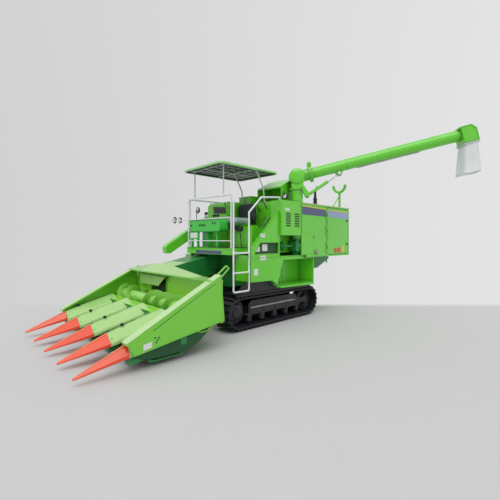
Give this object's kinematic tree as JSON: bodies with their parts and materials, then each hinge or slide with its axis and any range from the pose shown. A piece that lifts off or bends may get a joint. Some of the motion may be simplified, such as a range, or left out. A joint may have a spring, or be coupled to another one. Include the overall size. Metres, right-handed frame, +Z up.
{
  "type": "tracked combine harvester",
  "caption": "Tracked combine harvester with a maize header, open operator's platform under a canopy, grain tank and a swinging unloading auger.",
  "frame": {"origin": "on the ground, on the centreline, midway along the tracks", "axes": "+X to the machine's left, -Y forward, +Z up"},
  "size_m": [5.0626, 6.3087, 3.6216],
  "materials": {
    "light_green": "glossy bright green enamel",
    "dark_green": "satin dark green enamel",
    "orange": "moulded orange-red snouts",
    "white": "white painted tube",
    "black_rubber": "black track rubber",
    "black_metal": "black chassis paint",
    "canopy_green": "green moulded roof, black below",
    "seat_vinyl": "black seat vinyl",
    "sleeve_fabric": "pale translucent woven sleeve",
    "steel": "bare and oiled steel",
    "mirror": "round mirrors in dark rims",
    "lamp": "lamps"
  },
  "bodies": {
    "chassis": {"auger_tower": "light_green", "boom_cradle": "light_green", "canopy_frame": "white", "canopy_roof": "canopy_green", "chassis_rails": "black_metal", "console": "dark_green", "control_levers": "black_metal", "cross_axles": "black_metal", "cross_members": "black_metal", "drive_cover": "light_green", "engine": "black_metal", "exhaust_pipe": "black_metal", "fan_pulley": "dark_green", "grain_tank": "light_green", "handrails": "white", "ladder": "white", "lamps": "lamp", "louvre_housing": "light_green", "mirrors": "mirror", "operator_deck": "light_green", "rear_hood": "light_green", "seat_back": "seat_vinyl", "seat_box": "light_green", "seat_cushion": "seat_vinyl", "side_box": "light_green", "side_shield_left": "light_green", "side_shield_right": "light_green", "straw_chute": "light_green", "tank_hood": "light_green", "threshing_housing": "light_green", "tow_hitch": "black_metal", "tower_gearbox": "dark_green", "track_frames": "black_metal", "track_left": "black_rubber", "track_right": "black_rubber", "track_wheels": "black_metal"},
    "header": {"feeder_house": "light_green", "header_frame": "light_green", "header_ends": "light_green", "row_beam": "dark_green", "row_hoods": "light_green", "row_snouts": "orange", "gathering_chains": "steel", "stalk_rolls": "steel"},
    "cross_auger": {"header_auger": "dark_green"},
    "swivel": {"auger_swivel": "light_green"},
    "boom": {"auger_boom": "light_green", "auger_spout": "light_green", "spout_sleeve": "sleeve_fabric"},
    "boom_barrel": {"boom_cylinder_barrel": "black_metal"},
    "boom_rod": {"boom_cylinder_rod": "steel"},
    "header_barrel": {"header_cylinder_barrel": "black_metal"},
    "header_rod": {"header_cylinder_rod": "steel"},
    "door": {"engine_door": "light_green"}
  },
  "joints": [
    {"name": "header_lift", "type": "hinge", "parent": "chassis", "child": "header", "pos_m": [-0.465, -0.7, 1.07], "axis": [-1, 0, 0], "range_deg": [-1.5, 15]},
    {"name": "header_auger_spin", "type": "hinge", "parent": "header", "child": "cross_auger", "pos_m": [0, -1.97, 0.53], "axis": [1, 0, 0], "continuous": true},
    {"name": "auger_swing", "type": "hinge", "parent": "chassis", "child": "swivel", "pos_m": [0.93, 0.555, 2.545], "axis": [0, 0, 1], "range_deg": [-48, 52]},
    {"name": "auger_lift", "type": "hinge", "parent": "swivel", "child": "boom", "pos_m": [0.93, 0.555, 2.78], "axis": [0.6129, -0.7902, 0], "range_deg": [-13, 10]},
    {"name": "boom_barrel_pivot", "type": "hinge", "parent": "swivel", "child": "boom_barrel", "pos_m": [1.08803, 0.67758, 2.42], "axis": [0.6129, -0.7902, 0], "range_deg": [-20, 20]},
    {"name": "boom_rod_slide", "type": "slide", "parent": "boom_barrel", "child": "boom_rod", "axis": [0.6593, 0.5114, 0.5511], "range_m": [-0.12, 0.1]},
    {"name": "header_barrel_pivot", "type": "hinge", "parent": "chassis", "child": "header_barrel", "pos_m": [-0.31, -0.7, 0.54], "axis": [-1, 0, 0], "range_deg": [-6, 20]},
    {"name": "header_rod_slide", "type": "slide", "parent": "header_barrel", "child": "header_rod", "axis": [0, -0.9995, -0.0317], "range_m": [-0.03, 0.18]},
    {"name": "engine_door_hinge", "type": "hinge", "parent": "chassis", "child": "door", "pos_m": [1.06, 1.405, 1.74], "axis": [0, 0, -1], "range_deg": [0, 100]}
  ],
  "couplings": [
    {"joint": "boom_barrel_pivot", "follows": "auger_lift", "ratio": 0.97706},
    {"joint": "boom_rod_slide", "follows": "auger_lift", "m_per_rad": 0.40874},
    {"joint": "header_barrel_pivot", "follows": "header_lift", "ratio": 0.94158},
    {"joint": "header_rod_slide", "follows": "header_lift", "m_per_rad": 0.52664}
  ]
}
